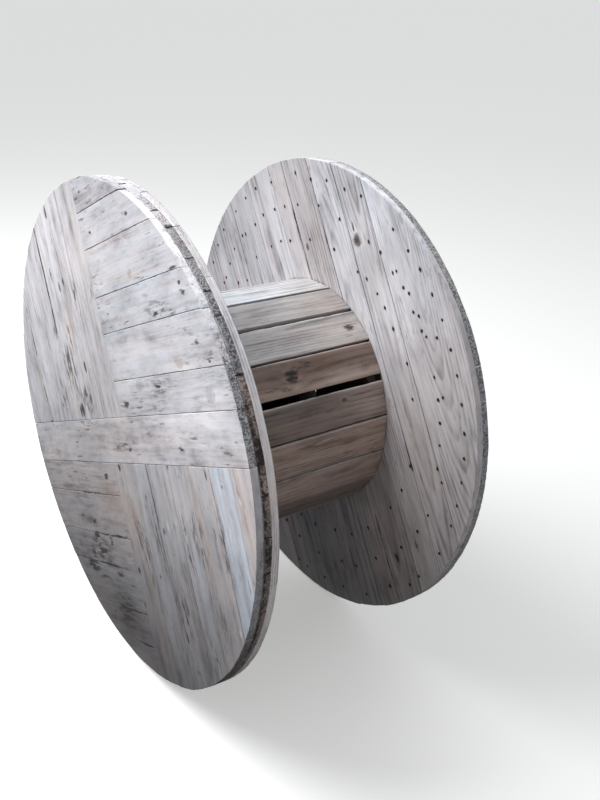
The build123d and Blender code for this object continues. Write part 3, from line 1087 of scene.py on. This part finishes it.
# nails and marks in diameters in the far flange's turned frame, as those of the facing in its own
FAR_NAILS = [
    (-0.288, 0.376), (-0.244, 0.407), (-0.198, 0.431), (-0.123, 0.452), (-0.067, 0.465), (-0.017, 0.47),
    (0.049, 0.461), (0.144, 0.447), (0.19, 0.416), (0.24, 0.395), (0.288, 0.36), (0.331, 0.331),
    (0.3434, 0.215), (0.3955, 0.244), (0.4205, 0.195), (0.4385, 0.1545), (0.4524, 0.1035), (0.4604, 0.054),
    (0.4615, -0.002), (0.4597, -0.05), (0.4517, -0.103), (0.4385, -0.156), (0.4198, -0.201),
    (0.3955, -0.245), (0.366, -0.288), (0.335, -0.326), (-0.262, 0.316), (-0.246, 0.325), (-0.211, 0.35),
    (-0.173, 0.376), (-0.123, 0.393), (-0.107, 0.392), (-0.057, 0.399), (-0.015, 0.408), (0.035, 0.404),
    (0.075, 0.397), (0.123, 0.385), (0.193, 0.359), (0.248, 0.312), (0.3174, 0.244), (0.3625, 0.169),
    (0.374, 0.169), (0.381, 0.135), (0.392, 0.121), (0.39, 0.085), (0.402, 0.075), (0.399, 0.047),
    (0.407, 0.034), (0.4344, 0.026), (0.399, -0.042), (0.4076, -0.083), (0.393, -0.085), (0.381, -0.1285),
    (0.3635, -0.17), (0.339, -0.214), (0.341, -0.241), (-0.196, 0.298), (-0.154, 0.293), (-0.087, 0.331),
    (-0.016, 0.335), (0.026, 0.334), (0.062, 0.324), (0.133, 0.305), (0.205, 0.262), (0.26, 0.199),
    (0.282, 0.179), (0.302, 0.143), (0.313, 0.112), (0.321, 0.068), (0.334, -0.004), (0.322, -0.073),
    (0.26, -0.201),
]


def hidden_ring_nails(shown, seed):
    """Nails of each ring where p or q is below -0.2, clear of the ones that show."""
    return [
        (p, q) for p, q in random_nails(seed, spacing=0.08)
        if all(math.hypot(p - a, q - b) > 0.035 for a, b in shown) and (q < -0.2 or p < -0.2)
    ]


FAR_NAILS += hidden_ring_nails(FAR_NAILS, 12)
FAR_STAINS = [(p, q - 0.0005, 0.0032, 0.006, 0.8) for p, q in FAR_NAILS] + [
    (-0.099, 0.4, 0.0016, 0.09, 0.75), (0.1435, 0.42, 0.0016, 0.05, 0.8),
    (0.283, 0.284, 0.0022, 0.012, 1.4), (0.049, 0.461, 0.005, 0.01, 0.7), (0.049, 0.475, 0.002, 0.02, 0.7),
    (0.188, 0.2, 0.002, 0.25, 0.5), (0.1, 0.33, 0.0022, 0.12, 0.6), (-0.137, 0.36, 0.002, 0.12, 0.5),
    (0.1, -0.44, 0.06, 0.04, 0.3), (0.2, -0.42, 0.05, 0.03, 0.28), (-0.1, -0.42, 0.12, 0.06, 0.32),
    (0.0, -0.33, 0.16, 0.05, 0.28), (0.2646, -0.2015, 0.003, 0.012, 1.2),
    (0.214, -0.367, 0.006, 0.016, 0.62), (0.137, -0.388, 0.009, 0.014, 0.62),
    (0.1018, -0.36, 0.0022, 0.13, 0.8), (0.2645, -0.17, 0.002, 0.06, 0.7),
]
FAR_KNOTS = [(0.284, 0.257, 0.012, 0.0125), (0.117, 0.293, 0.005, 0.008)]
FAR_WARMS = [
    (0.145, 0.3, 0.04, 0.08, 0.4), (0.1, -0.4, 0.2, 0.12, 0.35), (0.3, -0.2, 0.08, 0.12, 0.2),
    (-0.2, -0.3, 0.2, 0.2, 0.3),
]
FAR_TONES = [
    (0.0, -0.45, 0.34, 0.16, 0.72), (-0.33, -0.25, 0.22, 0.22, 0.6), (0.283, 0.28, 0.014, 0.016, 1.15),
    (0.145, 0.29, 0.035, 0.07, 0.85), (0.3, -0.25, 0.04, 0.06, 1.15), (0.1, -0.3, 0.06, 0.04, 1.25),
    (0.33, 0.08, 0.06, 0.08, 1.28), (0.3, -0.36, 0.04, 0.04, 1.2), (0.165, 0.365, 0.02, 0.03, 0.88),
    (0.35, 0.28, 0.05, 0.05, 1.25), (-0.25, 0.36, 0.05, 0.04, 1.22), (-0.13, 0.37, 0.05, 0.07, 0.88),
    (0.3, 0.245, 0.02, 0.035, 0.92), (0.22, -0.35, 0.04, 0.04, 0.88), (0.1, -0.4, 0.06, 0.04, 1.25),
    # a narrow painted highlight along the edge of a joint, as if it caught the light
    (0.2675, -0.345, 0.0026, 0.055, 1.7),
]
far_inner = layer(
    Face(BARREL_END_X, FAR_TURN - 90, -1), metres(FAR_INNER_EDGES), 160, FAR_FINE,
    boards=FAR_BOARDS, seam=0.0002, opened=FAR_OPENED,
)
p, q, theta = paint(far_inner, FAR_TURN, FAR_STAINS, FAR_KNOTS, FAR_WARMS, FAR_TONES)
retone(
    far_inner, smooth_tone(p, q, *FAR_SMOOTH_TONE) * (1 + 0.1 * far_inner.field("wall")),
    0.05 + 0.5 * step_up(-q, -0.22, 0.15) * step_up(p, -0.1, 0.2),
)
paint_shade_inside(far_inner)
far_inner.fields["end"] = [-0.9 * far_inner.field("wall")]
far_inner.build("far_inner_layer_weathered", flange_wood, "flange_wood", ["far_inner_layer"])

# far flange, outer layer: its back and its rim
outer_nails = random_nails(13, rings=(0.466, 0.4, 0.3))
far_outer = layer(
    Face(FAR_FACE_X, FAR_TURN, 1), metres(FAR_OUTER_EDGES), 180, PLAIN, pockets=True,
    seam=0.00015, ragged=0.3,
)
paint(far_outer, FAR_TURN, [(p, q, 0.005, 0.007, 0.6) for p, q in outer_nails])
retone(far_outer, 0.86, 0.05)
paint_shade_inside(far_outer, BORE_RADIUS + 0.003)
far_outer.build("far_outer_layer_weathered", flange_wood, "flange_wood", ["far_outer_layer"])


# barrel

# tone and warmth of each stave that shows, and marks in metres along the axis and across the stave
HIDDEN_STAVE = dict(tone=0.75, warm=0.1)
STAVES_SEEN = {
    1: dict(tone=0.95, warm=-0.1), 2: dict(tone=0.6, warm=0.2), 3: dict(tone=0.72, warm=0.3),
    4: dict(tone=0.34, warm=2.3), 5: dict(tone=0.36, warm=1.8), 6: dict(tone=0.7, warm=2.1),
    7: dict(tone=0.78, warm=2.1), 8: dict(tone=0.44, warm=2.0), 9: dict(tone=0.45, warm=2.2),
}
STAVE_STAINS = {
    1: [(0.225, 0.01, 0.012, 0.006, 0.6)],
    2: [(-0.16, -0.01, 0.05, 0.02, 0.35)],
    3: [
        (0.215, 0.0, 0.025, 0.018, 0.5), (-0.185, 0.012, 0.01, 0.006, 0.7),
        (0.0, -0.012, 0.16, 0.003, 0.45),
    ],
    4: [
        (-0.15, 0.01, 0.05, 0.02, 0.5), (0.05, 0.02, 0.03, 0.012, 0.7), (0.021, 0.003, 0.02, 0.016, 0.75),
        (0.0, -0.02, 0.025, 0.01, 0.45), (-0.05, -0.018, 0.06, 0.004, 0.6),
    ],
    5: [(0.05, 0.0, 0.1, 0.012, 0.35), (0.0, -0.0425, 0.6, 0.0025, 0.8)],
    6: [(0.05, 0.02, 0.07, 0.012, 0.4), (0.0, -0.0425, 0.6, 0.0025, 0.9)],
}
STAVE_KNOTS = {4: [(0.021, 0.003, 0.013, 0.014)], 5: [(0.135, 0.014, 0.006, 0.005)]}
STAVE_WARMS = {
    1: [(0.0, 0.0, 0.16, 0.05, -0.6)],
    2: [(0.21, 0.0, 0.07, 0.05, 0.7)], 3: [(0.2, 0.0, 0.05, 0.05, 0.4)],
    4: [(0.16, -0.015, 0.1, 0.015, -0.9), (0.1, 0.02, 0.04, 0.01, 1.2)],
}
STAVE_TONES = {
    # stave 1's second entry darkens its eased lower edge by half: painted shade
    1: [(0.21, 0.0, 0.05, 0.05, 0.82), (0.0, -0.041, 0.6, 0.0055, 0.5)], 2: [(-0.15, 0.0, 0.1, 0.05, 0.9)],
    4: [
        (0.1, 0.018, 0.15, 0.018, 0.8), (0.0, -0.024, 0.3, 0.012, 1.4), (-0.16, 0.0, 0.06, 0.05, 1.25),
        (0.2, -0.014, 0.08, 0.016, 1.6),
    ],
    3: [(0.2, 0.0, 0.06, 0.05, 1.12)], 5: [(0.21, 0.0, 0.07, 0.04, 1.8)],
    7: [(0.0, -0.034, 0.6, 0.022, 0.72)],
}
# painted highlight along the upper edge of each stave, on the side that shows, where light from above
# catches it: how much brighter that edge is
EDGE_HIGHLIGHT = {2: 0.25, 3: 0.6, 4: 2.4, 5: 2.2, 6: 0.35, 7: 0.1, 8: 0.1}
OTHER_EDGE_HIGHLIGHT = 0.4
HIGHLIGHT_REACH = 0.0034
# spacing of a stave's points along it and across it
STAVE_STEP = (0.006, 0.004)


def stave_board(number):
    """One flat stave, bevelled towards the axis, its two long edges eased by a quarter circle."""
    index = number - 1
    first = OPEN_STAVE_JOINTS.get((index - 1) % STAVES, STAVE_JOINT)
    second = OPEN_STAVE_JOINTS.get(index, STAVE_JOINT)
    low, high = -STAVE_WIDTH / 2 + second / 2, STAVE_WIDTH / 2 - first / 2
    rows = even_rows(low, high, STAVE_STEP[1])
    ends = np.full(len(rows), BARREL_END_X)
    u, v = board_surface(rows, np.full(len(rows), BARREL_START_X), ends, STAVE_STEP[0])
    drop = eased_drop(np.minimum(v - low, high - v))
    seed = 300 + number
    relief = 0.0004 * (1 + noise(u / 0.2, v / 0.04, seed))
    for side, edge, sign in ((0, low, 1), (1, high, -1)):
        wander = 0.0004 + chipped(u, side, seed + 40, *STAVE_EDGE)
        v = v + sign * wander * np.exp(-np.abs(v - edge) / STAVE_JOINT_REACH)
    stave = Piece()
    face = StaveFace(FIRST_STAVE_JOINT + STAVE_PITCH * (index - 0.5))
    close_board(stave, face, u, v, drop + relief, STAVE_THICKNESS, np.zeros(u.shape))
    stave.weather(Board(seed, **STAVES_SEEN.get(number, HIDDEN_STAVE)), 0)
    along, across, depth = stave.field("u"), stave.field("v"), stave.field("w")
    stave.fields["end"] = [np.zeros(len(across))]
    marks = (table.get(number, ()) for table in (STAVE_STAINS, STAVE_KNOTS, STAVE_WARMS, STAVE_TONES))
    mark(stave, along, across, 1, *marks)
    # painted highlight: the upper long edge brighter and less warm, as if lit from above
    edge = fall(high - across, HIGHLIGHT_REACH)
    # painted shade: the stave's side walls, darker with depth, and its inner face, up to 80% darker, as in
    # the dark inside the barrel
    inside = 1 - 0.8 * step_up(depth, 0.003, 0.012)
    highlight = 1 + EDGE_HIGHLIGHT.get(number, OTHER_EDGE_HIGHLIGHT) * edge
    retone(stave, highlight * inside, -0.6 * edge * stave.field("warm"))
    name = f"stave_{number:02d}"
    stave.build(name + "_weathered", stave_wood, "stave_wood", [name])


for number in range(1, STAVES + 1):
    stave_board(number)


# nails

NAIL_SIDES = 10
NAIL_RADII = (0.0028, 0.004)
# radius and depth of each ring of points of a head, from its foot in the wood to its flat top
HEAD_SIZES = np.array([1.0, 1.0, 0.72])
HEAD_DEPTHS = np.array([0.0026, 0.0003, 0.0])
# degrees from which an edge of a head shows sharp
SHARP_HEAD = 50


def nail_heads(name, face, places, seed, proud):
    """Round nail heads in one mesh: each a short wall and a sloping edge round a flat top."""
    rng = np.random.default_rng(seed)
    places = np.array(places) * DIAMETER
    radius = rng.uniform(*NAIL_RADII, len(places))
    lift = rng.uniform(0.3, 1.0, len(places)) * proud
    around = np.linspace(0, 2 * math.pi, NAIL_SIDES, endpoint=False)
    p = places[:, 0, None, None] + radius[:, None, None] * HEAD_SIZES[:, None] * np.cos(around)
    q = places[:, 1, None, None] + radius[:, None, None] * HEAD_SIZES[:, None] * np.sin(around)
    w = np.broadcast_to(HEAD_DEPTHS[:, None] - lift[:, None, None], p.shape)
    points = face.place(p, q, w).reshape(-1, 3)
    corner = np.arange(len(HEAD_SIZES) * NAIL_SIDES).reshape(-1, NAIL_SIDES)
    after = np.roll(corner, -1, axis=1)
    sides = np.stack([corner[:-1], after[:-1], after[1:], corner[1:]], axis=-1).reshape(-1, 4)
    starts = np.arange(len(places))[:, None, None] * corner.size
    sides = (sides + starts).reshape(-1, 4)
    tops, bottoms = corner[2] + starts[:, 0], corner[0][::-1] + starts[:, 0]
    if face.reverse:
        sides, tops, bottoms = sides[:, ::-1], tops[:, ::-1], bottoms[:, ::-1]
    mesh = bpy.data.meshes.new(name)
    mesh.from_pydata(points, [], [*sides.tolist(), *tops.tolist(), *bottoms.tolist()])
    mesh.polygons.foreach_set("use_smooth", np.ones(len(mesh.polygons), bool))
    mesh.set_sharp_from_angle(angle=math.radians(SHARP_HEAD))
    mesh.materials.append(rust)
    heads = bpy.data.objects.new(name, mesh)
    bpy.context.scene.collection.objects.link(heads)
    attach(heads, "root")


nail_heads("far_inner_nail_heads", Face(BARREL_END_X, FAR_TURN, -1), FAR_NAILS, 21, 0.0005)
nail_heads("near_inner_nail_heads", Face(BARREL_START_X, NEAR_TURN, 1), near_nails, 22, 0.0005)
nail_heads("far_outer_nail_heads", Face(FAR_FACE_X, FAR_TURN, 1), outer_nails, 23, 0.0)

# solids that stay: discs inside the barrel and the steel

for name in ("near_barrel_disc", "far_barrel_disc"):
    for place in bpy.data.objects[name].material_slots:
        place.material = inside_wood
for name in ("tie_bolts", "bolt_nuts", "near_washers", "far_washers"):
    for place in bpy.data.objects[name].material_slots:
        place.material = rust

# floor, light and camera


def plain_material(name, shown, glow, lit):
    """Matt colour that the camera sees as shown, with that much glow, and other rays as lit."""
    plain = Recipe(name)
    rays = plain.node("ShaderNodeLightPath", output="Is Camera Ray")
    paint = plain.finish(plain.mix(rays, rgba(*lit), rgba(*shown)), 0.9)
    shader = next(node for node in plain.tree.nodes if node.type == "BSDF_PRINCIPLED")
    light = plain.mix(rays, rgba(0, 0, 0), rgba(*glow))
    plain.tree.links.new(light.socket, shader.inputs["Emission Color"])
    shader.inputs["Emission Strength"].default_value = 1
    return paint


FLOOR_REACH = 60
floor_mesh = bpy.data.meshes.new("floor")
corners = [(x * FLOOR_REACH, y * FLOOR_REACH, 0) for x, y in ((-1, -1), (1, -1), (1, 1), (-1, 1))]
floor_mesh.from_pydata(corners, [], [(0, 1, 2, 3)])
floor_mesh.materials.append(
    plain_material("floor_paint", (0.8, 0.8, 0.79), (0.33, 0.33, 0.32), (0.12, 0.12, 0.12))
)
floor = bpy.data.objects.new("floor", floor_mesh)
bpy.context.scene.collection.objects.link(floor)


def soft_light(name, place, target, size, power, colour):
    """Round lamp at a place, turned towards its target."""
    lamp = bpy.data.lights.new(name, "AREA")
    lamp.shape, lamp.size, lamp.energy, lamp.color = "DISK", size, power, colour
    light = bpy.data.objects.new(name, lamp)
    direction = Vector(target) - Vector(place)
    light.location = place
    light.rotation_mode = "QUATERNION"
    light.rotation_quaternion = direction.to_track_quat("-Z", "Y")
    bpy.context.scene.collection.objects.link(light)


soft_light("key", (-1.5, 1.2, 2.9), (0, 0, 0.75), 2.4, 135, (0.98, 0.99, 1))

world = bpy.data.worlds.new("studio")
world.use_nodes = True
bpy.context.scene.world = world
sky = world.node_tree
sky.nodes.clear()
rays = sky.nodes.new("ShaderNodeLightPath")
behind, around = sky.nodes.new("ShaderNodeBackground"), sky.nodes.new("ShaderNodeBackground")
behind.inputs["Color"].default_value = (1, 1, 1, 1)
around.inputs["Color"].default_value = (0.94, 0.975, 1, 1)
around.inputs["Strength"].default_value = 0.5
choose = sky.nodes.new("ShaderNodeMixShader")
output = sky.nodes.new("ShaderNodeOutputWorld")
sky.links.new(rays.outputs["Is Camera Ray"], choose.inputs[0])
sky.links.new(around.outputs[0], choose.inputs[1])
sky.links.new(behind.outputs[0], choose.inputs[2])
sky.links.new(choose.outputs[0], output.inputs["Surface"])

# camera, fitted to circles of both flanges and the barrel: which way right, up and back point from
# it, and where it stands
lens = bpy.data.cameras.new("camera")
lens.lens, lens.sensor_width, lens.sensor_fit = 54.543, 36, "HORIZONTAL"
camera = bpy.data.objects.new("camera", lens)
right = (0.81388171, -0.57750233, 0.06393449)
up = (0.21306057, 0.39900484, 0.89185219)
back = (-0.54055689, -0.71224027, 0.44778572)
stand = (-0.99173489, -1.57790709, 1.5217033)
camera.matrix_world = Matrix([*zip(right, up, back, stand), (0, 0, 0, 1)])
bpy.context.scene.collection.objects.link(camera)
bpy.context.scene.camera = camera

bpy.context.scene.view_settings.view_transform = "Standard"
